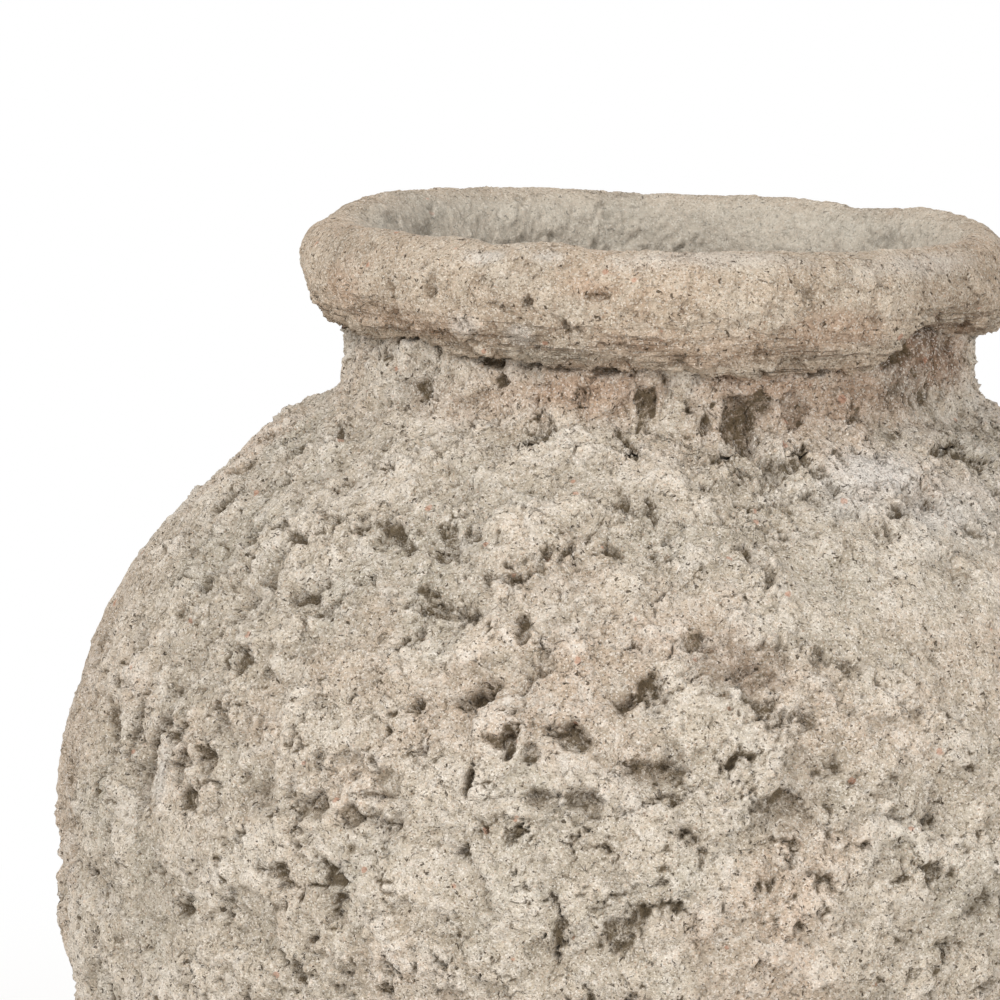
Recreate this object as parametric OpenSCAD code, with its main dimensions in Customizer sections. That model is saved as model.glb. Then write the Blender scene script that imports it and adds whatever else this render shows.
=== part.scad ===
// Coil-built terracotta vase with a thick rolled rim, at real size in millimetres.
// The vase stands on the origin, +Z is up and the Z axis is the axis of every ring.

/* [Body] */
// Widest diameter, at the belly
belly_d = 340; // [320:1:360]
// Height of the widest point above the table
belly_z = 165; // [155:1:175]
// Diameter of the foot that it stands on
foot_d = 170; // [150:1:190]
// Lean of the wall where it leaves the foot, above the horizontal
foot_lean = 55; // [50:1:65]
// Thickness of the fired wall
wall_t = 11; // [9:0.5:12]

/* [Shoulder] */
// Outer diameter of the shoulder's top, where the neck begins
shoulder_d = 189; // [186:1:194]
// Height of the shoulder's top
shoulder_z = 284.5; // [282:0.5:287]
// Slope of the shoulder at its top, below the horizontal
shoulder_slope = 32; // [28:1:36]

/* [Neck and rim] */
// Narrowest outer diameter of the neck
neck_d = 176; // [174:0.5:178]
// Narrowest inner diameter, in the neck
throat_d = 154; // [152:0.5:155]
// Outer diameter of the rolled rim
rim_d = 201; // [198:1:206]
// Height of the rim's roll, from its underside to its crest
rim_h = 34; // [32:0.5:36]
// Overall height, to the crest of the rim
height = 335; // [333:0.5:338]

/* [Weathering] */
// Distance between neighbouring hollows worn into the outer face
hollow_pitch = 34; // [32:1:40]
// Width of the widest hollow
hollow_w = 28; // [22:1:30]
// Depth of the deepest hollow
hollow_t = 4.5; // [3:0.5:5]
// Draw of the hollows' places and sizes
hollow_draw = 2; // [2:1:3]

/* [Clay pieces] */
// Reach of the coil pressed into the corner inside the foot
fillet = 16; // [12:1:20]
// Width of the neck's edge that stands up inside the rim
tongue_w = 6.5; // [5:0.5:7]
// Colour of the clay body
clay = "#BBAF9F"; // [#BBAF9F:Pale grey, #C2A98F:Warm buff]

/* [Hidden] */
$fn = 128;

// The wall is laid in courses, each a flattened coil of clay, from the foot upwards.
COURSES = [
    "foot_course", "lower_course_1", "lower_course_2", "lower_course_3", "belly_course",
    "shoulder_course_1", "shoulder_course_2", "shoulder_course_3", "shoulder_course_4"
];

// Short steps along the wall: in one course, at the slab's own edge, and in the slant of a joint
course_steps = 6;
slab_steps = 1;
lap_steps = 1;
wall_steps = slab_steps + len(COURSES) * course_steps + lap_steps;
belly_step = wall_steps / 2;

belly_r = belly_d / 2;
foot_r = foot_d / 2;
shoulder_r = shoulder_d / 2;
neck_r = neck_d / 2;
throat_r = throat_d / 2;

// How far the wall holds its direction at the foot, the belly and the shoulder's top, as shares
// of the height of the lower or the upper half
lower_h = belly_z;
upper_h = shoulder_z - belly_z;
foot_hold = 0.36;
belly_hold = 0.5;
shoulder_hold = 0.42;

// The rim's roll is an ellipse, and its inner face stands plumb above the throat.
rim_rx = (rim_d / 2 - throat_r) / 2;
rim_rz = rim_h / 2;
rim_r = throat_r + rim_rx;
rim_z = height - rim_rz;

function bezier(p, t) =
    pow(1 - t, 3) * p[0] + 3 * t * pow(1 - t, 2) * p[1] + 3 * t * t * (1 - t) * p[2] + pow(t, 3) * p[3];

function bezier_slope(p, t) =
    3 * pow(1 - t, 2) * (p[1] - p[0]) + 6 * t * (1 - t) * (p[2] - p[1]) + 3 * t * t * (p[3] - p[2]);

function polar(angle, length) = length * [cos(angle), sin(angle)];

// Unit vector from the outer face into the wall, for a curve that runs upwards
function inward(slope) = [-slope[1], slope[0]] / norm(slope);

below_belly = [
    [foot_r, 0],
    [foot_r, 0] + polar(foot_lean, foot_hold * lower_h),
    [belly_r, belly_z - belly_hold * lower_h],
    [belly_r, belly_z]
];
above_belly = [
    [belly_r, belly_z],
    [belly_r, belly_z + belly_hold * upper_h],
    [shoulder_r, shoulder_z] + polar(-shoulder_slope, shoulder_hold * upper_h),
    [shoulder_r, shoulder_z]
];

// Step k along the wall: its half of the wall, and how far it is along that half
function half_of(k) = k < belly_step ? below_belly : above_belly;
function share_of(k) = (k < belly_step ? k : k - belly_step) / belly_step;

// Point of the outer face at step k, and the point at a depth below it
function on_wall(k) = bezier(half_of(k), share_of(k));
function in_wall(k, depth) = on_wall(k) + depth * inward(bezier_slope(half_of(k), share_of(k)));

outer_wall = [for (k = [0 : wall_steps]) on_wall(k)];
inner_wall = [for (k = [0 : wall_steps]) in_wall(k, wall_t)];

function stretch(points, first, last) = [for (k = [first : last]) points[k]];
function backwards(points) = [for (k = [len(points) - 1 : -1 : 0]) points[k]];

// Where a course ends outside and inside. The inner edge is a step higher, so each course laps
// down over the one below and the seam sheds water.
function outer_end(course) = slab_steps + course * course_steps;
function inner_end(course) = outer_end(course) + lap_steps;
wall_top_outer = outer_end(len(COURSES));
wall_top_inner = inner_end(len(COURSES));

slab_edge = inner_wall[inner_end(0)];
slab_top = slab_edge[1];

// The fillet coil climbs the wall by a few steps, and its face is drawn into the corner.
fillet_steps = 2;
fillet_draw = 0.67;
function towards(from, to) = from + fillet_draw * (to - from);

// The neck draws in from the shoulder to a short upright band. The bends say how far it holds the
// shoulder's slope, and the two heights are where it would turn upright if it turned sharply.
neck_bend = 5;
throat_bend = 9;
neck_turn_z = shoulder_z + 5;
throat_turn_z = shoulder_z - 2;
rim_underside = rim_z - rim_rz;
neck_outer = [
    outer_wall[wall_steps],
    outer_wall[wall_steps] + polar(180 - shoulder_slope, neck_bend),
    [neck_r, neck_turn_z],
    [neck_r, rim_underside]
];
neck_inner = [
    inner_wall[wall_steps],
    inner_wall[wall_steps] + polar(180 - shoulder_slope, throat_bend),
    [throat_r, throat_turn_z],
    [throat_r, rim_z]
];
curve_steps = 10;
function along(curve) = [for (k = [1 : curve_steps]) bezier(curve, k / curve_steps)];

// The neck's top edge is a tongue, a little thinner at its tip, and the rim's roll sits on it and
// laps down outside it. Its two ends stand in from the roll's underside and middle by the step.
tongue_taper = 0.5;
tongue_step = 1.5;
tongue_r = throat_r + tongue_w;
tongue_foot = [tongue_r + tongue_taper, rim_underside + tongue_step];
tongue_tip = [tongue_r - tongue_taper, rim_z - tongue_step];
tongue = [tongue_foot, tongue_tip];

// The rim's roll from the neck's outer face round the crest to the throat
roll_start = -acos((neck_r - rim_r) / rim_rx);
roll_points = 36;
roll = [for (k = [0 : roll_points])
    let (angle = roll_start + (180 - roll_start) * k / roll_points)
    [rim_r + rim_rx * cos(angle), rim_z + rim_rz * sin(angle)]
];

// Weather has worn hollows into every course above the foot, about a pitch apart. Each has an angle
// round the axis, a step along the wall, a width and a depth, drawn anew for each course. Their
// middles lie in the lower part of the course, so the last ones stay clear of the neck.
first_worn = 1;
last_worn = len(COURSES) - 1;
lower_part = 0.6;
least_w = 0.4;
least_t = 0.5;
ball_sides = 40;
function between(least, share) = least + (1 - least) * share;
function hollows(course) =
    let (count = round(2 * PI * on_wall(outer_end(course))[0] / hollow_pitch))
    let (draw = rands(0, 1, 4 * count, hollow_draw + course))
    [for (k = [0 : count - 1]) [
        (k + draw[4 * k]) * 360 / count,
        outer_end(course) + draw[4 * k + 1] * lower_part * course_steps,
        between(least_w, draw[4 * k + 2]) * hollow_w,
        between(least_t, draw[4 * k + 3]) * hollow_t
    ]];

// Whether a hollow is in a course or reaches over its edge
function reaches(hollow, course) =
    let (nearest = min(max(hollow[1], outer_end(course)), outer_end(course + 1)))
    norm(on_wall(hollow[1]) - on_wall(nearest)) < hollow[2] / 2;

module ring(section) {
    color(clay) rotate_extrude() polygon(section);
}

// Ball that scoops out a hollow of a given width and depth
module scoop(angle, step, width, depth) {
    ball_r = (pow(width / 2, 2) + pow(depth, 2)) / (2 * depth);
    middle = in_wall(step, depth - ball_r);
    color(clay) rotate(angle) translate([middle[0], 0, middle[1]]) sphere(ball_r, $fn = ball_sides);
}

// Flat disc of clay with a bevelled edge that the foot course closes round
module base_slab() {
    ring(concat([[0, 0]], stretch(outer_wall, 0, outer_end(0)), [slab_edge, [0, slab_top]]));
}

// Thin coil smoothed into the corner between the slab and the wall, with a hollow inner face
module inner_fillet_coil() {
    wall_face = stretch(inner_wall, inner_end(0), inner_end(0) + fillet_steps);
    top = wall_face[fillet_steps];
    inner_edge = slab_edge - [fillet, 0];
    hollow = [top, towards(top, slab_edge), towards(inner_edge, slab_edge), inner_edge];
    ring(concat(wall_face, along(hollow)));
}

// One course of the wall, between its two slanted joints, less the hollows in it and those that
// reach over from the courses beside it
module wall_course(course) {
    outside = stretch(outer_wall, outer_end(course), outer_end(course + 1));
    inside = stretch(inner_wall, inner_end(course), inner_end(course + 1));
    difference() {
        ring(concat(outside, backwards(inside)));
        for (beside = [max(first_worn, course - 1) : min(course + 1, last_worn)])
            for (hollow = hollows(beside))
                if (reaches(hollow, course))
                    scoop(hollow[0], hollow[1], hollow[2], hollow[3]);
    }
}

// Short collar that stands on the shoulder, with a tongue along its top edge
module neck_collar() {
    outside = concat(stretch(outer_wall, wall_top_outer, wall_steps), along(neck_outer));
    inside = concat([inner_wall[wall_top_inner]], along(neck_inner));
    ring(concat(outside, tongue, backwards(inside)));
}

// Thick coil rolled over the neck's edge
module rim_coil() {
    ring(concat(roll, backwards(tongue)));
}

base_slab();
inner_fillet_coil();
for (course = [0 : len(COURSES) - 1])
    wall_course(course);
neck_collar();
rim_coil();
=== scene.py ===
import math
import bmesh
import bpy
import numpy as np
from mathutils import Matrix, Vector


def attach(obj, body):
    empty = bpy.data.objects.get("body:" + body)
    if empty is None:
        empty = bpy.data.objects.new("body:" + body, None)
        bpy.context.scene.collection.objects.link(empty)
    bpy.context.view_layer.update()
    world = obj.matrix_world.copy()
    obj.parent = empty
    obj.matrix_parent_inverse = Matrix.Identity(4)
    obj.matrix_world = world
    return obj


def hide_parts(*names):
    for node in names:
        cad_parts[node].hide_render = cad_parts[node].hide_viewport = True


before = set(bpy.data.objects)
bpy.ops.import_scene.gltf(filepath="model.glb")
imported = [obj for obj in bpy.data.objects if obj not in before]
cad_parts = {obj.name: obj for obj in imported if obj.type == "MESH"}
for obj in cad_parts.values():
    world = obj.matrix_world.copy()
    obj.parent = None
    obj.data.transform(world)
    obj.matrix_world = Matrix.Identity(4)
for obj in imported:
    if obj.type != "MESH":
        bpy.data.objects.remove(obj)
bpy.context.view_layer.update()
mm = 0.001
scene = bpy.context.scene
scene.view_settings.view_transform = "Standard"
print("frame loaded,", len(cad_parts), "clay pieces")


def linear(hexColour):
    channels = [int(hexColour[i:i + 2], 16) / 255 for i in (1, 3, 5)]
    return [c / 12.92 if c <= 0.04045 else ((c + 0.055) / 1.055) ** 2.4 for c in channels] + [1.0]


# adds one node: sockets among the values are linked and the rest are set, and one output comes back
def add(tree, kind, values=None, out=0, **settings):
    node = tree.nodes.new(kind)
    for name, setting in settings.items():
        setattr(node, name, setting)
    for key, value in (values or {}).items():
        if isinstance(value, bpy.types.NodeSocket):
            tree.links.new(value, node.inputs[key])
        else:
            node.inputs[key].default_value = value
    return node.outputs[out] if len(node.outputs) else node


def smoothstep(low, high, value):
    t = np.clip((value - low) / (high - low), 0, 1)
    return t * t * (3 - 2 * t)


# Camera

viewpoint = {
    "elevation": 7.0,  # degrees above the horizon
    "distance": 2.5,
    "frameWidth": 280 * mm,  # what the picture takes in at the vase's axis
    "aim": (-44.8 * mm, 0, 255.9 * mm),  # the picture's centre
    "sensor": 36.0,
}


def makeCamera():
    data = bpy.data.cameras.new("camera")
    data.sensor_width = viewpoint["sensor"]
    data.lens = viewpoint["sensor"] * viewpoint["distance"] / viewpoint["frameWidth"]
    camera = bpy.data.objects.new("camera", data)
    rise = math.radians(viewpoint["elevation"])
    back = Vector((0, -math.cos(rise), math.sin(rise)))
    camera.location = Vector(viewpoint["aim"]) + back * viewpoint["distance"]
    camera.rotation_euler = (math.pi / 2 - rise, 0, 0)
    scene.collection.objects.link(camera)
    scene.camera = camera


makeCamera()
print("camera set")

# Clay pieces: each is turned from its section in the frame. Rows are mm apart along the section. From
# the bottom up along the outside, rough is how much of the crust it carries, layered is how far the
# clay has split into thin layers, and inside is where the bare inner face begins.

upperCourse = {"segments": 1400, "outsideRow": 0.68, "insideRow": 3}
bellyCourse = {"segments": 1400, "outsideRow": 0.95, "insideRow": 3}
lowerCourse = {"segments": 1000, "outsideRow": 1.2, "insideRow": 3}
neckCollar = {
    "segments": 1300,
    "outsideRow": 0.7,
    "insideRow": 1.5,
    "jointRow": 4,
    "weathering": {"Hollows": 0.0, "Pits": 2.0, "Plates": 1.3},
}
rimCoil = {
    "segments": 1000,
    "outsideRow": 0.8,
    "insideRow": 0.8,
    "jointRow": 4,
    "rough": [(0, 0.7), (0.15, 0.6), (0.3, 0.55), (0.5, 0.45), (0.6, 0.2), (0.72, 0.25), (1, 0.6)],
    "layered": [(0, 1), (0.2, 1), (0.32, 0.35), (0.45, 0), (1, 0)],
    "inside": [(0.68, 0), (0.82, 1)],
    "weathering": {"Hollows": 0.0, "Layers": 1.2, "Sway": 1.0, "Grain": 0.2},
}
filletCoil = {
    "segments": 500,
    "outsideRow": 2,
    "insideRow": 2,
    "rough": [(0, 0.6), (1, 0.6)],
    "weathering": {"Hollows": 0.0},
}
baseSlab = {
    "segments": 400,
    "outsideRow": 3,
    "insideRow": 3,
    "rough": [(0, 0.5), (1, 0.5)],
    "weathering": {"Hollows": 0.0},
    "open": True,
}
insideRough = 0.6
jointPoints = 4  # the slant of a joint has no more points than this
lookOf = {
    "base_slab": baseSlab,
    "inner_fillet_coil": filletCoil,
    "foot_course": lowerCourse,
    "lower_course_1": lowerCourse,
    "lower_course_2": lowerCourse,
    "lower_course_3": lowerCourse,
    "belly_course": bellyCourse,
    "shoulder_course_1": upperCourse,
    "shoulder_course_2": upperCourse,
    "shoulder_course_3": upperCourse,
    "shoulder_course_4": upperCourse,
    "neck_collar": neckCollar,
    "rim_coil": rimCoil,
}


# the node's outline on the half plane through the axis, as (radius, height) points, anticlockwise. Its
# own corners are met all the way round, and those of the worn hollows only here and there.
def sectionOf(node, isOpen, step=0.1 * mm, fewest=60):
    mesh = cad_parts[node].data
    flat = np.empty(len(mesh.vertices) * 3, np.float32)
    mesh.vertices.foreach_get("co", flat)
    place = flat.reshape(-1, 3)
    turned = np.column_stack([np.hypot(place[:, 0], place[:, 1]), place[:, 2]])
    rings, ringOf, met = np.unique(np.round(turned / step), axis=0, return_inverse=True, return_counts=True)
    ringOf = ringOf.ravel()
    spots = {}
    for ring in np.flatnonzero(met > fewest):
        same = [other for other in spots if np.abs(rings[ring] - rings[other]).max() <= 1]
        spots[ring] = spots[same[0]] if same else tuple(turned[ringOf == ring].mean(0))
    ends = np.empty(len(mesh.edges) * 2, np.int32)
    mesh.edges.foreach_get("vertices", ends)
    links = {}
    for a, b in np.unique(ringOf[ends].reshape(-1, 2), axis=0):
        if a in spots and b in spots and spots[a] != spots[b]:
            links.setdefault(spots[a], set()).add(spots[b])
            links.setdefault(spots[b], set()).add(spots[a])
    tips = [spot for spot in links if len(links[spot]) == 1]
    walk = [min(tips or links, key=lambda spot: spot[1])]
    while True:
        onward = [spot for spot in links[walk[-1]] if spot not in walk]
        if not onward:
            break
        walk.append(max(onward))
    if isOpen:
        walk = [(0, walk[0][1]), *walk, (0, walk[-1][1])]  # the faces of a disc close on the axis
    points = np.array(walk)
    after = np.roll(points, -1, 0)
    area = np.sum(points[:, 0] * after[:, 1] - after[:, 0] * points[:, 1])
    return points if area > 0 else points[::-1]


# cuts an outline at its sharp corners
def stretchesOf(points, isOpen, sharp=math.radians(30)):
    came = points - np.roll(points, 1, 0)
    goes = np.roll(points, -1, 0) - points
    turn = np.abs(np.arctan2(came[:, 0] * goes[:, 1] - came[:, 1] * goes[:, 0], np.sum(came * goes, 1)))
    corners = [int(i) for i in np.flatnonzero(turn > sharp)]
    if isOpen:
        corners = sorted({0, *corners, len(points) - 1})
    else:
        corners.append(corners[0] + len(points))
    ring = np.concatenate([points, points])
    return [ring[a:b + 1] for a, b in zip(corners, corners[1:])]


# evenly spaced points on a smooth curve through the given ones, and the way out of the clay at each
def resample(points, spacing):
    run = np.concatenate([[0], np.cumsum(np.linalg.norm(np.diff(points, axis=0), axis=1))])
    at = np.linspace(0, run[-1], max(3, round(run[-1] / spacing) + 1))
    slopes = np.gradient(points, run, axis=0, edge_order=min(2, len(points) - 1))
    k = np.clip(np.searchsorted(run, at, side="right") - 1, 0, len(points) - 2)
    span = (run[k + 1] - run[k])[:, None]
    t = (at - run[k])[:, None] / span
    start = (1 + 2 * t) * (1 - t) ** 2 * points[k] + t * (1 - t) ** 2 * slopes[k] * span
    end = t * t * (3 - 2 * t) * points[k + 1] + t * t * (t - 1) * slopes[k + 1] * span
    curve = start + end
    heading = np.gradient(curve, at, axis=0, edge_order=2)
    heading /= np.linalg.norm(heading, axis=1)[:, None]
    return curve, np.stack([heading[:, 1], -heading[:, 0]], 1)


# what each row of a section holds: its place, the way out of the clay, and what the weathering reads
columns = ("radius", "height", "outward", "upward", "rough", "layered", "inside", "skin")


# rows of one piece's section, and which of them are corners. Skin is 1 where the clay is seen.
def rowsOf(node, look):
    isOpen = look.get("open", False)
    rows = []
    corners = []
    for stretch in stretchesOf(sectionOf(node, isOpen), isOpen):
        isSkin = isOpen or len(stretch) > jointPoints
        if not isSkin and "jointRow" not in look:
            continue
        isInside = stretch[-1][1] < stretch[0][1] or node == "inner_fillet_coil"
        if isSkin:
            spacing = look["insideRow"] if isInside else look["outsideRow"]
        else:
            spacing = look["jointRow"]
        curve, out = resample(stretch, spacing * mm)
        share = np.linspace(0, 1, len(curve))
        rough = np.interp(share, *zip(*look.get("rough", [(0, 1)])))
        layered = np.interp(share, *zip(*look.get("layered", [(0, 0)])))
        inside = np.interp(share, *zip(*look.get("inside", [(0, 0)])))
        if isInside and node != "rim_coil":
            rough[:] = insideRough
            inside[:] = 1
        keep = slice(None) if isSkin else slice(1, -1)
        if isSkin:
            corners += [len(rows), len(rows) + len(curve) - 1]
        skin = np.full(len(curve), float(isSkin))
        rows += np.column_stack([curve, out, rough, layered, inside, skin])[keep].tolist()
    return np.array(rows), corners


# The mouth leans to the right. Its crest and its lower lip rise and dip: degrees from the front, and
# the lift in mm.
crookedRim = {
    "tilt": 2.0,
    "tiltFrom": 165 * mm,
    "tiltTo": 285 * mm,
    "neckFrom": 287 * mm,
    "lipAt": 301 * mm,
    "crestFrom": 307 * mm,
    "crestAt": 328 * mm,
    "lip": [
        (-120, 0), (-90, 2.5), (-61, 2.9), (-53, 4.6), (-43, 4.2), (-37, 2.2), (-32, 0.9), (-21, 1.5),
        (-12, 0.3), (-3, 2.0), (4, 0.8), (12, -0.3), (24, 1.3), (34, 1.2), (40, 4.5), (46, 9.5), (52, 11.5),
        (60, 9.5), (70, 7.5), (90, 5), (125, 0),
    ],
    "crest": [
        (-97, -2.5), (-80, -3.6), (-56, -1.8), (-43, -1.3), (-36, -1.0), (-32, -2.0), (-28, -1.6), (-24, 0),
        (-18, 0.3), (-15, -0.9), (-12, -1.4), (-3, -0.7), (37, -0.3), (70, 0.6), (105, 1.3), (123, 1.5),
        (139, -1), (148, -0.2), (156, 0.9), (172, -0.7), (198, -0.1), (224, 0.7), (240, 0.6), (252, 0),
    ],
}


# how far the crooked mouth moves the clay up or down
def crookedLift(across, angle, height):
    rim = crookedRim
    tilted = smoothstep(rim["tiltFrom"], rim["tiltTo"], height)
    lift = -across * math.tan(math.radians(rim["tilt"])) * tilted
    crest = smoothstep(rim["crestFrom"], rim["crestAt"], height)
    lip = smoothstep(rim["neckFrom"], rim["lipAt"], height)
    lip = lip * (1 - smoothstep(rim["lipAt"], rim["crestAt"], height))
    for share, line in ((crest, rim["crest"]), (lip, rim["lip"])):
        lift = lift + share * mm * np.interp(np.degrees(angle), *zip(*line), period=360)
    return lift


# turns the rows about the axis into a closed mesh, with what the weathering reads as attributes
def turnClay(node, look, rows, corners):
    segments = look["segments"]
    count = len(rows)
    isOpen = look.get("open", False)
    angle = np.arange(segments) * 2 * math.pi / segments
    sine, cosine = np.sin(angle), -np.cos(angle)
    radius, height, outward, upward = (rows[:, i:i + 1] for i in range(4))
    level = np.ones(segments)
    plain = np.stack([radius * sine, radius * cosine, height * level], 2)
    out = np.stack([outward * sine, outward * cosine, upward * level], 2)
    place = plain.copy()
    place[:, :, 2] += crookedLift(place[:, :, 0], angle, height)
    row, seg = np.meshgrid(np.arange(count - isOpen), np.arange(segments), indexing="ij")
    corner = [(row, seg), (row, seg + 1), (row + 1, seg + 1), (row + 1, seg)]
    faces = np.stack([(r % count) * segments + s % segments for r, s in corner], 2).reshape(-1, 4)
    mesh = bpy.data.meshes.new(node)
    mesh.from_pydata(place.reshape(-1, 3).tolist(), [], faces.tolist(), shade_flat=False)
    for name, values in (("out", out), ("plain", plain)):
        values = values.astype(np.float32).ravel()
        mesh.attributes.new(name, "FLOAT_VECTOR", "POINT").data.foreach_set("vector", values)
    for name in ("rough", "layered", "inside", "skin"):
        values = np.repeat(rows[:, columns.index(name)], segments).astype(np.float32)
        mesh.attributes.new(name, "FLOAT", "POINT").data.foreach_set("value", values)
    # unrolled strip for the baked textures, cut into bands so that it fills a square
    step = np.linalg.norm(np.roll(rows[:, :2], -1, 0) - rows[:, :2], axis=1)
    along = np.concatenate([[0], np.cumsum(step)])
    bands = max(1, round(math.sqrt(2 * math.pi * rows[:, 0].max() / along[-1])))
    bandLength = math.ceil(segments / bands)
    margin = 0.004  # of the square, left free beside each band
    across = np.stack([(seg % bandLength + s - seg) / bandLength for r, s in corner], 2)
    strip = np.stack([margin + (1 - 2 * margin) * along[r] / along[-1] for r, s in corner], 2)
    up = (strip + (seg // bandLength)[:, :, None]) / bands
    unrolled = np.stack([across, up], 3).astype(np.float32).ravel()
    mesh.uv_layers.new(name="OFBake").data.foreach_set("uv", unrolled)
    edges = np.zeros(len(mesh.edges) * 2, np.int32)
    mesh.edges.foreach_get("vertices", edges)
    edgeRows = edges.reshape(-1, 2) // segments
    sharp = (edgeRows[:, 0] == edgeRows[:, 1]) & np.isin(edgeRows[:, 0], corners)
    mesh.attributes.new("sharp_edge", "BOOLEAN", "EDGE").data.foreach_set("value", sharp)
    if isOpen:
        poles = bmesh.new()
        poles.from_mesh(mesh)
        bmesh.ops.remove_doubles(poles, verts=poles.verts, dist=0.01 * mm)
        poles.to_mesh(mesh)
        poles.free()
    return mesh


profiles = {node: rowsOf(node, look) for node, look in lookOf.items()}
allRows = np.concatenate([rows for rows, corners in profiles.values()])
# the outer face of the whole vase, from the bottom up
leastOutward = 0.05
isOuter = (allRows[:, columns.index("skin")] > 0) & (allRows[:, columns.index("outward")] > leastOutward)
outerFace = allRows[isOuter][np.argsort(allRows[isOuter, columns.index("height")])]
print("sections read,", len(allRows), "rows")

# Weathering: the relief of the crust, from Geometry Nodes. Heights, depths and sizes are in mm.

weathering = {
    "Seed": 3.0,
    "Sway": 1.3,
    "Swell": 1.4,
    "Crust": 1.45,
    "Scabs": 1.0,
    "Plates": 1.5,
    "Chips": 0.75,
    "Crevices": 1.0,
    "Pebbles": 0.3,
    "Pits": 3.0,
    "Nicks": 1.0,
    "Grain": 0.28,
    "Layers": 0.0,
    "Hollows": 1.0,  # share of the hollows in the solids
}

# size of each layer's features, then how many finer octaves it has and how strong they are
clouds = {
    "sway": (75.0, 1.0, 0.5),
    "swell": (24.0, 6.0, 0.62),
    "grain": (1.7, 2.0, 0.65),
    "layers": (1.6, 2.0, 0.6),
    "crust": (20.0, 5.0, 0.6),
    "scabs": (9.0, 4.0, 0.6),
    "pits": (9.0, 4.0, 0.6),
    "nicks": (3.4, 2.0, 0.55),
    "patches": (36.0, 2.0, 0.5),
}
plateSize = 13.0
chipSize = 5.5
pebbleSize = 3.2
warp = [(16.0, 8.0), (4.0, 2.6)]  # size of the swirls that bend the layers, and how far they push
drawnOut = (0.08, 0.08, 1.0)  # thin layers are long and flat

# between which values of its cloud each layer rises
rises = {
    "crust": (0.48, 0.52),
    "scabs": (0.52, 0.57),
    "pitDip": (0.54, 0.66),
    "pitCore": (0.62, 0.68),
    "nicks": (0.64, 0.74),
    "crevices": (0.5, 0.58),
}
patchiness = {"pitDip": 0.5, "pitCore": 0.5, "nicks": 0.3}  # how much the patches keep them together
creviceReach = 0.09  # half width of a crevice, as a share of a chip
pebbleEdge, pebbleTop = 0.75, 0.1  # as shares of a pebble's spacing

# how the crust lies over the hollows in the solids, and over the foot
overlay = {
    "probe": 8.0,  # how far above and below the turned section the solids are looked for
    "open": 0.85,  # share of a hollow that the crust leaves open, and how far the scabs change it
    "openVaries": 0.5,
    "dirtAndShadeFrom": 2.0,  # depth where dirt and painted shade begin, where they are full, and how much they are then
    "dirtAndShadeFull": 5.0,
    "dirtAndShadeMost": 0.6,
    "footHeight": 14.0,  # the relief grows from the table up to here
    "footRelief": 0.15,
}
seedStep = 137.0  # how far a seed moves the patterns
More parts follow.
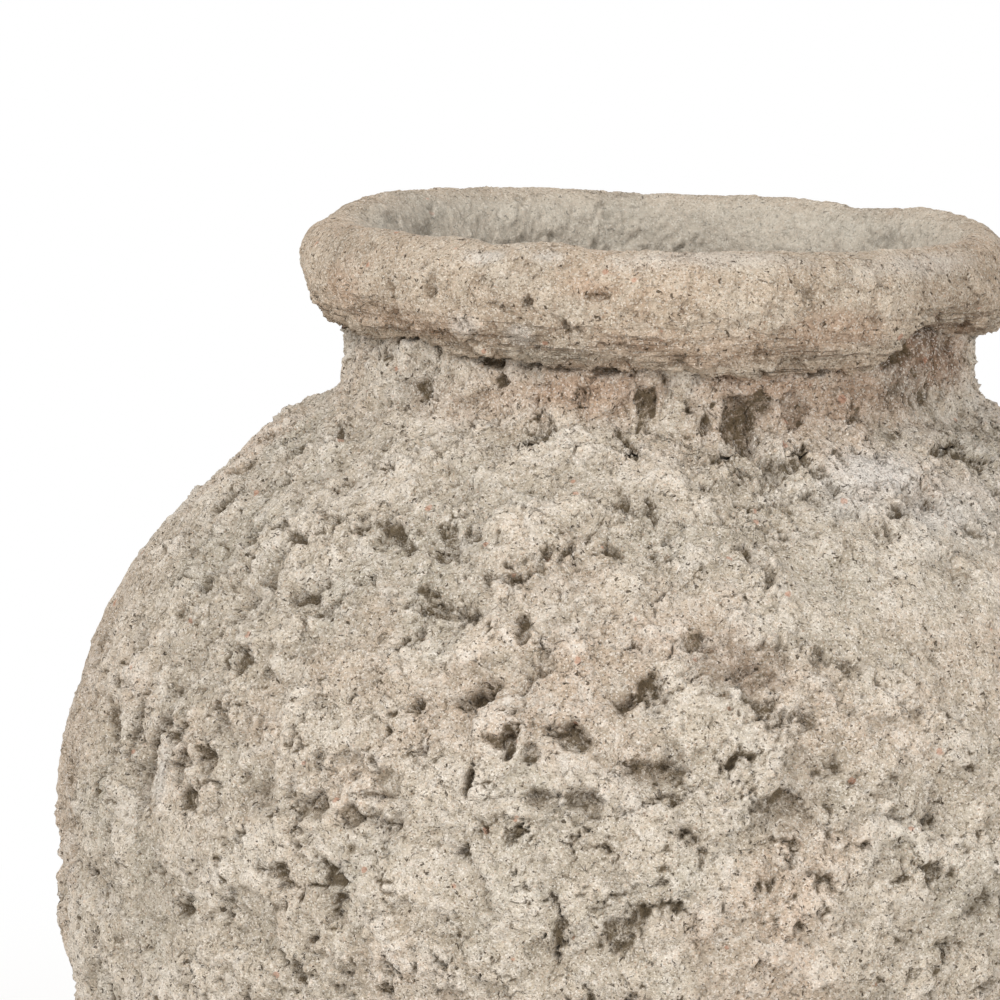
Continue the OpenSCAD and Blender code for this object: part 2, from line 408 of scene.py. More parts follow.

# hollows and knobs that stand out: degrees from the front, height, half width, half height, depth
# (below 0 for a knob), how dark it is painted with dirt and painted shade, and lean: 1 is deep at the top and
# -1 at the bottom
marks = [
    (12.5, 287, 4.5, 9, 4.0, 0.9, 0.3),
    (15.5, 278, 3.5, 6, 3.0, 0.8, 0.3),
    (23, 291, 4.5, 5, 2.0, 0.6, 0.3),
    (6.5, 232, 15, 10, 2.4, 0.6, 0.6),
    (2.5, 236, 6, 4.5, 2.4, 0.85, 0.5),
    (8, 229, 7, 4.5, 2.6, 0.9, 0.5),
    (-8.9, 212, 4.8, 4.2, 4.2, 1.0, 0.3),
    (-15.1, 210.5, 2.5, 4, 3.5, 0.9, 0),
    (-13, 208, 2, 3, 2.5, 0.8, 0),
    (-18.6, 200.5, 1.8, 5, 3.0, 0.8, 0),
    (-11.9, 196.3, 5.5, 4, 4.2, 1.0, 0.8),
    (-7.7, 194.5, 5, 4.8, 4.2, 1.0, 0.8),
    (-1.9, 203, 11, 4, 3.4, 0.95, 0.9),
    (10.3, 193, 8, 5.5, 3.4, 0.95, 0.8),
    (-10.9, 204, 8, 8, -2.2, 0, -0.6),
    (-22, 245, 6, 4, -1.8, 0, -0.7),
    (-17.5, 250, 4, 2, 1.6, 0.5, 0.6),
    (-15.4, 238, 2.6, 6, 3.2, 0.95, 0.2),
    (-12.5, 230, 2.6, 5, 2.4, 0.7, 0.2),
    (-34.6, 189.6, 5.5, 4.5, 3.6, 0.95, 0.6),
    (-52, 197, 3.5, 6, 3.6, 0.95, 0.2),
    (-57.5, 200, 3.5, 6, 3.6, 1.0, 0.2),
    (-62, 204, 3, 5, 3.2, 0.95, 0.2),
    (-55.7, 206, 3, 3.5, 3.0, 0.95, 0.2),
    (-50, 187, 4.5, 4.5, 3.6, 0.95, 0.2),
    (-58.6, 187, 4.5, 7, 3.6, 1.0, 0.2),
    (-48, 204.7, 1.6, 2.6, 2.2, 0.75, 0.2),
    (-46.8, 208.7, 1.8, 1.8, 2.0, 0.6, 0.2),
    (-34.2, 204.2, 2.4, 4, 2.0, 0.55, 0.2),
    (-31.4, 204.2, 4, 2.6, 1.8, 0.5, 0.5),
    (-30, 198.8, 2.4, 2.2, 2.0, 0.65, 0.3),
    (-28.4, 194.3, 3.6, 2, 2.4, 0.7, 0.5),
    (-26.8, 197.6, 4, 4, 1.6, 0.5, 0.3),
    (-23.7, 207.5, 1.8, 2.4, 2.2, 0.7, 0.4),
    (-30, 188.3, 3, 3.6, 2.4, 0.75, 0.4),
    (-40.5, 191.2, 3, 4.5, 1.8, 0.55, 0.3),
    (-37.5, 194.5, 2, 3, 1.8, 0.55, 0.2),
    (-47.9, 198.8, 3, 3.6, 2.2, 0.7, 0.3),
    (-43.1, 196.6, 1.6, 2, 2.0, 0.7, 0.2),
    (-44, 208.5, 1.2, 5, 1.2, 0.4, 0),
    (-42.2, 207.5, 1.2, 5, 1.2, 0.4, 0),
    (-47, 224, 2, 4.5, 3.0, 0.85, 0),
    (-49.5, 224, 4, 3, -2.4, 0, -0.5),
    (-43, 221, 5, 2.5, 2.4, 0.6, 0.8),
    (-64, 254, 2.5, 7, -2.0, 0, 0),
    (-56, 253.5, 2.2, 5.5, 3.0, 0.6, 0),
    (-58.7, 240, 3, 2, 2.2, 0.7, 0.3),
    (-60.2, 232, 2.5, 3, 2.2, 0.7, 0.3),
    (-78, 212, 4, 3, -2.5, 0.2, -0.5),
    (-79, 217, 5, 3, 2.2, 0.3, 0.5),
    (-22.3, 319, 2.0, 1.6, 3.0, 0.9, 0),
    (-10.4, 323.5, 3.5, 1.3, 1.5, 0.6, 0),
    (-39.7, 322, 2.0, 3.5, 1.2, 0.4, 0),
    # along the lower edge of the lip: shallow grooves whose dark tint is painted shade under the lip
    (-52, 300.5, 5, 1.6, 2.2, 0.9, 0),
    (-45, 300.5, 5, 1.4, 2.0, 0.9, 0),
    (-38, 300.5, 6, 1.7, 2.4, 1.0, 0),
    (-32, 300.5, 5, 1.5, 2.2, 0.9, 0),
    (-25, 300.5, 6, 1.4, 2.0, 0.8, 0),
    (-18, 300.5, 6, 1.3, 1.8, 0.8, 0),
    (-11, 300.5, 5, 1.3, 1.8, 0.8, 0),
    (27, 301, 4, 2, 2.2, 0.9, 0),
    (50, 302, 7, 5, 2.5, 0.5, 0),
    (63, 300, 6, 6, 2.5, 0.5, 0),
    (-37, 304, 6, 4, 1.6, 0.2, 0),
    (20, 303, 5, 3, 2.2, 0.5, 0),
]

# stains: degrees from the front, height, half width, half height, kind and strength
stains = [
    (32, 276, 22, 14, "lime", 0.8),
    (38, 267, 20, 12, "lime", 0.6),
    (26, 270, 16, 10, "lime", 0.5),
    (42, 268, 34, 20, "lime", 0.35),
    (-33, 311, 6, 4, "lime", 0.45),
    (-24, 309, 5, 4, "lime", 0.4),
    (-31, 332, 9, 3, "lime", 0.5),
    (-20, 332, 6, 3, "lime", 0.4),
    (-55, 192, 5, 12, "lime", 0.45),
    (8, 334, 60, 5, "lime", 0.3),
    (48, 332, 40, 6, "lime", 0.35),
    # these four under the lip on the right: soot on the neck, with painted shade from the lip over it
    (52, 297, 22, 12, "soot", 1.0),
    (48, 293, 16, 9, "soot", 0.6),
    (63, 296, 16, 11, "soot", 0.7),
    (42, 299, 10, 6, "soot", 0.9),
    (13, 286, 6, 11, "soot", 0.4),
    (23, 291, 5, 6, "soot", 0.4),
    (-31, 309, 4, 3, "soot", 0.4),
    # soot on the neck under the lip at the left, with painted shade from the lip over it
    (-47, 291, 18, 9, "soot", 0.35),
    (-20, 293, 60, 10, "warm", 0.55),
    (25, 292, 60, 10, "warm", 0.55),
    (62, 296, 40, 12, "warm", 0.6),
    (-45, 306, 40, 7, "warm", 0.5),
    (5, 307, 60, 8, "warm", 0.45),
    (-14, 295, 30, 10, "warm", 0.9),
    (16, 298, 26, 8, "warm", 0.9),
    (36, 296, 12, 7, "warm", 0.6),
    (48, 299, 9, 5, "warm", 0.8),
    (6.5, 232, 17, 12, "warm", 0.45),
    (28, 313, 22, 9, "warm", 0.7),
    (-60, 318, 14, 10, "warm", 0.6),
    (-2, 308, 20, 6, "warm", 0.5),
    (-12, 326, 9, 5, "warm", 0.5),
    (-82, 200, 50, 70, "warm", 0.35),
    (-30, 290, 40, 10, "warm", 0.35),
]

# where the crust has worn smooth: degrees from the front, height, half width, half height, how far it
# is worn down (below 0 where it has built up), and how smooth it is
worn = [
    (30, 245, 60, 44, 0, 0.65),
    (20, 215, 30, 16, 0, 0.6),
    (0.5, 216, 20, 11, 0, 0.85),
    (30, 277, 18, 10, 0, 0.6),
    (-8, 275, 16, 10, 0, 0.6),
    (-92, 225, 60, 90, 1.6, 0.8),
    (-95, 261, 40, 30, 2.6, 0.5),
    (-95, 284, 50, 15, 3.6, 0.4),
    (-90, 310, 34, 11, 2.6, 0.4),
    (-88, 329, 24, 10, -1.8, 0.4),
]
edgeOf = {"mark": 0.22, "stain": 0.8, "worn": 0.9}  # how soft the edges are, as a share of the reach
edgeOutside = 1.1  # where an edge ends
ragging = {"chips": 0.55, "swell": 0.2, "grain": 0.12}  # how far each layer breaks the edge of a mark
fraying = 0.4  # the same for a stain, as a share of that


# one mark: its share is 1 inside an ellipsoid about its centre, and it adds to what came before
def markTree():
    tree = bpy.data.node_groups.new("clayMark", "GeometryNodeTree")
    for name in ("Place", "Centre", "Reach"):
        tree.interface.new_socket(name, in_out="INPUT", socket_type="NodeSocketVector")
    for name in ("Turn", "Edge", "Ragged", "Level", "Slope", "Depth", "Tint", "Relief So Far", "Tint So Far"):
        tree.interface.new_socket(name, in_out="INPUT", socket_type="NodeSocketFloat")
    for name in ("Relief", "Tint"):
        tree.interface.new_socket(name, in_out="OUTPUT", socket_type="NodeSocketFloat")
    given = tree.nodes.new("NodeGroupInput").outputs
    turned = add(tree, "ShaderNodeVectorRotate", {"Vector": given["Place"], "Angle": given["Turn"]},
                 rotation_type="Z_AXIS")
    offset = add(tree, "ShaderNodeVectorMath", {0: turned, 1: given["Centre"]}, operation="SUBTRACT")
    scaled = add(tree, "ShaderNodeVectorMath", {0: offset, 1: given["Reach"]}, operation="DIVIDE")
    even = add(tree, "ShaderNodeVectorMath", {0: scaled}, out="Value", operation="LENGTH")
    reach = add(tree, "ShaderNodeMath", {0: even, 1: given["Ragged"]}, operation="ADD")
    core = add(tree, "ShaderNodeMath", {0: 1.0, 1: given["Edge"]}, operation="SUBTRACT")
    share = add(tree, "ShaderNodeMapRange", {"Value": reach, "From Min": edgeOutside, "From Max": core},
                interpolation_type="SMOOTHSTEP")
    rise = add(tree, "ShaderNodeSeparateXYZ", {0: scaled}, out="Z")
    floor = add(tree, "ShaderNodeMath", {
        0: rise, 1: given["Slope"], 2: given["Level"]}, operation="MULTIPLY_ADD")
    deep = add(tree, "ShaderNodeMath", {0: share, 1: floor}, operation="MULTIPLY")
    depth = add(tree, "ShaderNodeMath", {0: deep, 1: given["Depth"]}, operation="MULTIPLY")
    tint = add(tree, "ShaderNodeMath", {0: deep, 1: given["Tint"]}, operation="MULTIPLY")
    add(tree, "NodeGroupOutput", {
        "Relief": add(tree, "ShaderNodeMath", {0: given["Relief So Far"], 1: depth}, operation="SUBTRACT"),
        "Tint": add(tree, "ShaderNodeMath", {0: given["Tint So Far"], 1: tint}, operation="MAXIMUM"),
    })
    return tree


# fields of the weathered surface at a place in mm
def clayFields(tree, place):
    fields = {}
    bent = place
    for size, reach in warp:
        swirl = add(tree, "ShaderNodeTexNoise", {
            "Vector": place, "Scale": 1 / size, "Detail": 1.0}, out="Color")
        centred = add(tree, "ShaderNodeVectorMath", {0: swirl, 1: (0.5, 0.5, 0.5)}, operation="SUBTRACT")
        bent = add(tree, "ShaderNodeVectorMath", {
            0: centred, 1: (reach,) * 3, 2: bent}, operation="MULTIPLY_ADD")
    fields["bent"] = bent
    flat = add(tree, "ShaderNodeVectorMath", {0: bent, 1: drawnOut}, operation="MULTIPLY")
    raw = {}
    for name, (size, detail, roughness) in clouds.items():
        vector = {"sway": place, "patches": place, "grain": place, "layers": flat}.get(name, bent)
        raw[name] = add(tree, "ShaderNodeTexNoise", {
            "Vector": vector, "Scale": 1 / size, "Detail": detail, "Roughness": roughness})
    # rolling layers run from about -1 to 1
    for name in ("sway", "swell", "grain", "layers"):
        fields[name] = add(tree, "ShaderNodeMapRange", {
            "Value": raw[name], "From Min": 0.25, "From Max": 0.75, "To Min": -1.0, "To Max": 1.0},
            clamp=False)
    # the crust ends in ragged steps, and pits have a wide dip and a steep core where the patches let them
    for name in ("crust", "scabs"):
        low, high = rises[name]
        fields[name] = add(tree, "ShaderNodeMapRange", {
            "Value": raw[name], "From Min": low, "From Max": high, "To Min": -0.5, "To Max": 0.5},
            interpolation_type="SMOOTHSTEP")
    for name, source in (("pitDip", "pits"), ("pitCore", "pits"), ("nicks", "nicks")):
        low, high = rises[name]
        patchy = patchiness[name]
        shifted = add(tree, "ShaderNodeMath", {
            0: raw["patches"], 1: patchy, 2: raw[source]}, operation="MULTIPLY_ADD")
        fields[name] = add(tree, "ShaderNodeMapRange", {
            "Value": shifted, "From Min": low + patchy / 2, "From Max": high + patchy / 2},
            interpolation_type="SMOOTHSTEP")
    # flaked plates and chips each lie at a level of their own
    for name, size in (("plates", plateSize), ("chips", chipSize)):
        cells = add(tree, "ShaderNodeTexVoronoi", {"Vector": bent, "Scale": 1 / size}, out="Color")
        level = add(tree, "ShaderNodeSeparateXYZ", {0: cells}, out="X")
        fields[name] = add(tree, "ShaderNodeMath", {0: level, 1: 0.5}, operation="SUBTRACT")
    # crevices follow the gaps between some of the chips
    gap = add(tree, "ShaderNodeTexVoronoi", {"Vector": bent, "Scale": 1 / chipSize}, out="Distance",
              feature="DISTANCE_TO_EDGE")
    narrow = add(tree, "ShaderNodeMapRange", {"Value": gap, "From Min": creviceReach, "From Max": 0.0},
                 interpolation_type="SMOOTHSTEP")
    low, high = rises["crevices"]
    some = add(tree, "ShaderNodeMapRange", {"Value": raw["scabs"], "From Min": low, "From Max": high})
    fields["crevices"] = add(tree, "ShaderNodeMath", {0: narrow, 1: some}, operation="MULTIPLY")
    # pebbles of grog in the clay are round on top
    stones = add(tree, "ShaderNodeTexVoronoi", {"Vector": bent, "Scale": 1 / pebbleSize}, out="Distance")
    fields["pebbles"] = add(tree, "ShaderNodeMapRange", {
        "Value": stones, "From Min": pebbleEdge, "From Max": pebbleTop, "To Min": -1.0, "To Max": 1.0},
        interpolation_type="SMOOTHSTEP")
    return fields


# places the marks of one list on the vase and gives back the last of their relief and tint
def placeMarks(tree, group, place, ragged, rows, edge):
    relief = tint = 0.0
    for angle, height, halfWidth, halfHeight, depth, strength, lean in rows:
        turn = math.radians(angle)
        radius = np.interp(height * mm, outerFace[:, 1], outerFace[:, 0])
        lift = crookedLift(radius * math.sin(turn), turn, height * mm)
        node = add(tree, "GeometryNodeGroup", {
            "Place": place, "Turn": -turn, "Centre": (0, -radius / mm, height + lift / mm),
            "Reach": (halfWidth, halfHeight, halfHeight), "Edge": edge, "Ragged": ragged,
            "Depth": float(depth), "Tint": float(strength), "Level": 1 - abs(lean) / 2, "Slope": lean / 2,
            "Relief So Far": relief, "Tint So Far": tint}, node_tree=group).node
        relief, tint = node.outputs["Relief"], node.outputs["Tint"]
    return relief, tint


def weatherTree():
    tree = bpy.data.node_groups.new("weatheredClay", "GeometryNodeTree")
    tree.interface.new_socket("Geometry", in_out="INPUT", socket_type="NodeSocketGeometry")
    for name, value in weathering.items():
        socket = tree.interface.new_socket(name, in_out="INPUT", socket_type="NodeSocketFloat")
        socket.default_value = value
    tree.interface.new_socket("Solids", in_out="INPUT", socket_type="NodeSocketCollection")
    tree.interface.new_socket("Material", in_out="INPUT", socket_type="NodeSocketMaterial")
    tree.interface.new_socket("Geometry", in_out="OUTPUT", socket_type="NodeSocketGeometry")
    given = tree.nodes.new("NodeGroupInput").outputs
    place = add(tree, "GeometryNodeInputPosition")
    placeMm = add(tree, "ShaderNodeVectorMath", {0: place, "Scale": 1 / mm}, operation="SCALE")
    seed = add(tree, "ShaderNodeMath", {0: given["Seed"], 1: seedStep}, operation="MULTIPLY")
    rest = add(tree, "ShaderNodeVectorMath", {0: placeMm, 1: seed}, operation="ADD")
    fields = clayFields(tree, rest)
    out = add(tree, "GeometryNodeInputNamedAttribute", {"Name": "out"}, data_type="FLOAT_VECTOR")

    # how deep the solids are worn below their turned section, where the crust has filled some of it again
    solids = add(tree, "GeometryNodeCollectionInfo", {"Collection": given["Solids"]})
    solids = add(tree, "GeometryNodeRealizeInstances", {"Geometry": solids})
    plain = add(tree, "GeometryNodeInputNamedAttribute", {"Name": "plain"}, data_type="FLOAT_VECTOR")
    probe = overlay["probe"]
    start = add(tree, "ShaderNodeVectorMath", {
        0: out, 1: (probe * mm,) * 3, 2: plain}, operation="MULTIPLY_ADD")
    back = add(tree, "ShaderNodeVectorMath", {0: out, "Scale": -1.0}, operation="SCALE")
    ray = add(tree, "GeometryNodeRaycast", {
        "Target Geometry": solids, "Source Position": start, "Ray Direction": back,
        "Ray Length": 2 * probe * mm}).node.outputs
    deeper = add(tree, "ShaderNodeMath", {
        0: ray["Hit Distance"], 1: 1 / mm, 2: -probe}, operation="MULTIPLY_ADD")
    found = add(tree, "ShaderNodeMath", {0: deeper, 1: ray["Is Hit"]}, operation="MULTIPLY")
    kept = add(tree, "ShaderNodeMath", {
        0: fields["scabs"], 1: overlay["openVaries"], 2: overlay["open"]}, operation="MULTIPLY_ADD")
    kept = add(tree, "ShaderNodeMath", {0: kept, 1: given["Hollows"]}, operation="MULTIPLY")
    sunk = add(tree, "ShaderNodeMath", {0: found, 1: kept}, operation="MULTIPLY")

    # marks have ragged outlines: bent half as far as the layers, and broken along the chips
    halfBent = add(tree, "ShaderNodeMix", {0: 0.5, 4: rest, 5: fields["bent"]}, out=1, data_type="VECTOR")
    bentPlace = add(tree, "ShaderNodeVectorMath", {0: halfBent, 1: seed}, operation="SUBTRACT")
    ragged = 0.0
    for field, share in ragging.items():
        ragged = add(tree, "ShaderNodeMath", {
            0: fields[field], 1: share, 2: ragged}, operation="MULTIPLY_ADD")
    group = markTree()
    relief, dirt = placeMarks(tree, group, bentPlace, ragged, marks, edgeOf["mark"])
    frayed = add(tree, "ShaderNodeMath", {0: ragged, 1: fraying}, operation="MULTIPLY")
    tints = {}
    for kind in ("lime", "soot", "warm"):
        rows = [(a, z, w, h, 0, strength, 0) for a, z, w, h, named, strength in stains if named == kind]
        tints[kind] = placeMarks(tree, group, bentPlace, frayed, rows, edgeOf["stain"])[1]
    dip, calm = placeMarks(tree, group, bentPlace, 0.0, [(*row, 0) for row in worn], edgeOf["worn"])

    # adds the layers up: rough scales what belongs to the crust, and worn places have less of it
    rough = add(tree, "GeometryNodeInputNamedAttribute", {"Name": "rough"}, data_type="FLOAT")
    keptCrust = add(tree, "ShaderNodeMath", {0: 1.0, 1: calm}, operation="SUBTRACT")
    crustShare = add(tree, "ShaderNodeMath", {0: rough, 1: keptCrust}, operation="MULTIPLY")
    crusty = 0.0
    for name, field, share in (
        ("Swell", "swell", 1.0),
        ("Crust", "crust", 1.0),
        ("Scabs", "scabs", 1.0),
        ("Plates", "plates", 1.0),
        ("Chips", "chips", 1.0),
        ("Pebbles", "pebbles", 1.0),
        ("Pits", "pitDip", -0.35),
        ("Pits", "pitCore", -0.65),
        ("Nicks", "nicks", -1.0),
        ("Crevices", "crevices", -1.0),
    ):
        height = add(tree, "ShaderNodeMath", {0: given[name], 1: share}, operation="MULTIPLY")
        crusty = add(tree, "ShaderNodeMath", {
            0: fields[field], 1: height, 2: crusty}, operation="MULTIPLY_ADD")
    crustRelief = add(tree, "ShaderNodeMath", {0: crusty, 1: crustShare, 2: relief}, operation="MULTIPLY_ADD")
    crustRelief = add(tree, "ShaderNodeMath", {0: crustRelief, 1: sunk}, operation="SUBTRACT")
    layered = add(tree, "GeometryNodeInputNamedAttribute", {"Name": "layered"}, data_type="FLOAT")
    layers = add(tree, "ShaderNodeMath", {0: fields["layers"], 1: layered}, operation="MULTIPLY")
    crustRelief = add(tree, "ShaderNodeMath", {0: layers, 1: given["Layers"], 2: crustRelief},
                      operation="MULTIPLY_ADD")
    total = add(tree, "ShaderNodeMath", {0: crustRelief, 1: dip}, operation="ADD")
    grain = add(tree, "ShaderNodeMath", {0: fields["grain"], 1: keptCrust}, operation="MULTIPLY")
    for name, field in (("Sway", fields["sway"]), ("Grain", grain)):
        total = add(tree, "ShaderNodeMath", {0: field, 1: given[name], 2: total}, operation="MULTIPLY_ADD")
    # pits, nicks, crevices, marks and deep sunk hollows are darkened with dirt and painted shade
    deep = add(tree, "ShaderNodeMath", {0: fields["pitCore"], 1: fields["nicks"]}, operation="MAXIMUM")
    deep = add(tree, "ShaderNodeMath", {0: deep, 1: fields["crevices"]}, operation="MAXIMUM")
    pitted = add(tree, "ShaderNodeMath", {0: deep, 1: crustShare}, operation="MULTIPLY")
    sunkDirtAndShade = add(tree, "ShaderNodeMapRange", {
        "Value": sunk, "From Min": overlay["dirtAndShadeFrom"], "From Max": overlay["dirtAndShadeFull"],
        "To Max": overlay["dirtAndShadeMost"]})
    hollow = dirt
    for more in (pitted, sunkDirtAndShade):
        hollow = add(tree, "ShaderNodeMath", {0: hollow, 1: more}, operation="MAXIMUM")

    # the foot stays flat on the table
    heightAbove = add(tree, "ShaderNodeSeparateXYZ", {0: placeMm}, out="Z")
    free = add(tree, "ShaderNodeMapRange", {
        "Value": heightAbove, "From Max": overlay["footHeight"], "To Min": overlay["footRelief"]},
        interpolation_type="SMOOTHSTEP")
    skin = add(tree, "GeometryNodeInputNamedAttribute", {"Name": "skin"}, data_type="FLOAT")
    held = add(tree, "ShaderNodeMath", {0: free, 1: skin}, operation="MULTIPLY")
    reach = add(tree, "ShaderNodeMath", {0: total, 1: held}, operation="MULTIPLY")
    reachMetres = add(tree, "ShaderNodeMath", {0: reach, 1: mm}, operation="MULTIPLY")
    offset = add(tree, "ShaderNodeVectorMath", {0: out, "Scale": reachMetres}, operation="SCALE")
    moved = add(tree, "ShaderNodeVectorMath", {0: place, 1: offset}, operation="ADD")
    onTable = add(tree, "ShaderNodeVectorMath", {0: moved, 1: (-1.0, -1.0, 0.0)}, operation="MAXIMUM")

    # what the finish reads: the relief in mm, the share of each tint, and the place in the bent layers
    geometry = given["Geometry"]
    for name, field in {"relief": crustRelief, "hollow": hollow, **tints}.items():
        geometry = add(tree, "GeometryNodeStoreNamedAttribute", {
            "Geometry": geometry, "Name": name, "Value": field}, data_type="FLOAT", domain="POINT")
    geometry = add(tree, "GeometryNodeStoreNamedAttribute", {
        "Geometry": geometry, "Name": "flow", "Value": fields["bent"]},
        data_type="FLOAT_VECTOR", domain="POINT")
    geometry = add(tree, "GeometryNodeSetPosition", {"Geometry": geometry, "Position": onTable})
    for name in ("out", "plain", "rough", "skin"):
        geometry = add(tree, "GeometryNodeRemoveAttribute", {"Geometry": geometry, "Name": name})
    geometry = add(tree, "GeometryNodeRealizeInstances", {"Geometry": geometry})
    geometry = add(tree, "GeometryNodeSetMaterial", {"Geometry": geometry, "Material": given["Material"]})
    add(tree, "NodeGroupOutput", {"Geometry": geometry})
    return tree


weathered = weatherTree()
inputOf = {item.name: item.identifier for item in weathered.interface.items_tree if item.in_out == "INPUT"}
print("weathering tree built,", len(weathered.nodes), "nodes")

# Finishes: a colour, and how much of it there is, for each layer of tint

# pale crust with grey-green hollows and dark, gritty pits
limeCrusted = {
    "name": "lime crusted earthenware",
    "body": "#D3C5B2",
    "green": ("#B2AE9F", 0.4),
    "pink": ("#D6B9A1", 0.6),
    # low: the grey-green tone of the hollows, darkened with painted shade
    "low": ("#9B917F", 0.36),
    "high": ("#E4D9CA", 0.4),
    "pale": ("#E8DFD3", 0.5),
    "dark": ("#8E8270", 0.5),
    "flakeLow": ("#9C907F", 0.5),
    "flakeHigh": ("#E8DFD3", 0.5),
    "darkGrain": ("#6C5F4B", 0.7),
    "paleGrain": ("#F3ECE2", 0.6),
    "pinkGrain": ("#CDA488", 0.3),
    "speck": ("#BE8A70", 0.6),
    # hollow: dirt and painted shade in pits and hollows
    "hollow": ("#5A4C37", 0.9),
    # crevice: painted shadow in the crevices
    "crevice": ("#5E503C", 0.55),
    "pore": ("#493B29", 0.85),
    "split": ("#66533F", 0.6),
    "warm": ("#B38F74", 0.7),
    "lime": ("#E2DFDA", 0.8),
    # soot, and painted shade on the neck under the lip
    "soot": ("#413124", 0.9),
    "inner": ("#C2B9AB", 0.0),  # the crust hides it
}
# warm, sandy and even, from wet hands on the rim
sandSmoothed = {
    **limeCrusted,
    "name": "sand smoothed earthenware",
    "body": "#C9B7A2",
    "green": ("#AFA697", 0.8),
    "pink": ("#C6A78B", 0.5),
    # low: the grey-green tone of the hollows, darkened with painted shade
    "low": ("#97836E", 0.75),
    "high": ("#D2C1AC", 0.4),
    "pale": ("#D6C8B5", 0.6),
    "flakeLow": ("#9C8C78", 0.35),
    "flakeHigh": ("#DCCFBD", 0.4),
    "darkGrain": ("#73634E", 0.7),
    "paleGrain": ("#EAE1D4", 0.6),
    # crevice: painted shadow in the crevices
    "crevice": ("#5E4C38", 0.4),
    "inner": ("#BAB8AE", 0.45),
}
# duller and browner, out of the rain
innerClay = {
    **limeCrusted,
    "name": "bare inner clay",
    "body": "#BBAB98",
    "high": ("#CDC0AF", 0.4),
}
# sizes in mm of the patterns of tint, finer octaves, their strength, and how far the pattern is twisted
tintClouds = {
    "green": (38.0, 3.0, 0.55, 0.0),
    "pink": (55.0, 3.0, 0.55, 0.0),
    "pale": (6.0, 4.0, 0.68, 1.2),
    "dark": (3.0, 3.0, 0.7, 1.2),
    "grit": (0.6, 2.0, 0.7, 0.0),
    "pore": (1.5, 2.0, 0.6, 0.5),
}
# between which values of what draws it each pattern grows
grows = {
    "crevice": {"From Min": 0.44, "From Max": 0.34},
    "pore": {"From Min": 0.65, "From Max": 0.71},
    "stretch": {"From Min": 0.4, "From Max": 0.55},
    "split": {"From Min": 0.47, "From Max": 0.38},
    "speck": {"From Min": 0.6, "From Max": 1.0},
    "dirt": {"From Min": 0.62, "From Max": 0.4, "To Min": -0.45, "To Max": 0.3},
}
spotGrit = 1.6  # how far the grit breaks up the spots of dirt, soot and painted shade
pitsBare = 0.4  # keeps crevices out of the pits
leastSplit = 0.25  # split layers between the stretches that have most of them
sandGrain = 0.46
flakeSizes = (plateSize, chipSize, 2.6, 1.3)  # the largest are the plates and chips of the relief
crackedFlakes = 2  # how many of these sizes have crevices
creviceEdge, creviceCore = 0.3, 0.08
layerSize = 1.8
speckSpacing = 8.0
speckReach = 0.18  # radius of the largest speck and width of its soft edge, as shares of the spacing
speckEdge = 0.05
dryClay = {"Roughness": 0.92, "Specular IOR Level": 0.2}  # porous, with hardly any sheen
insideBump = 0.5


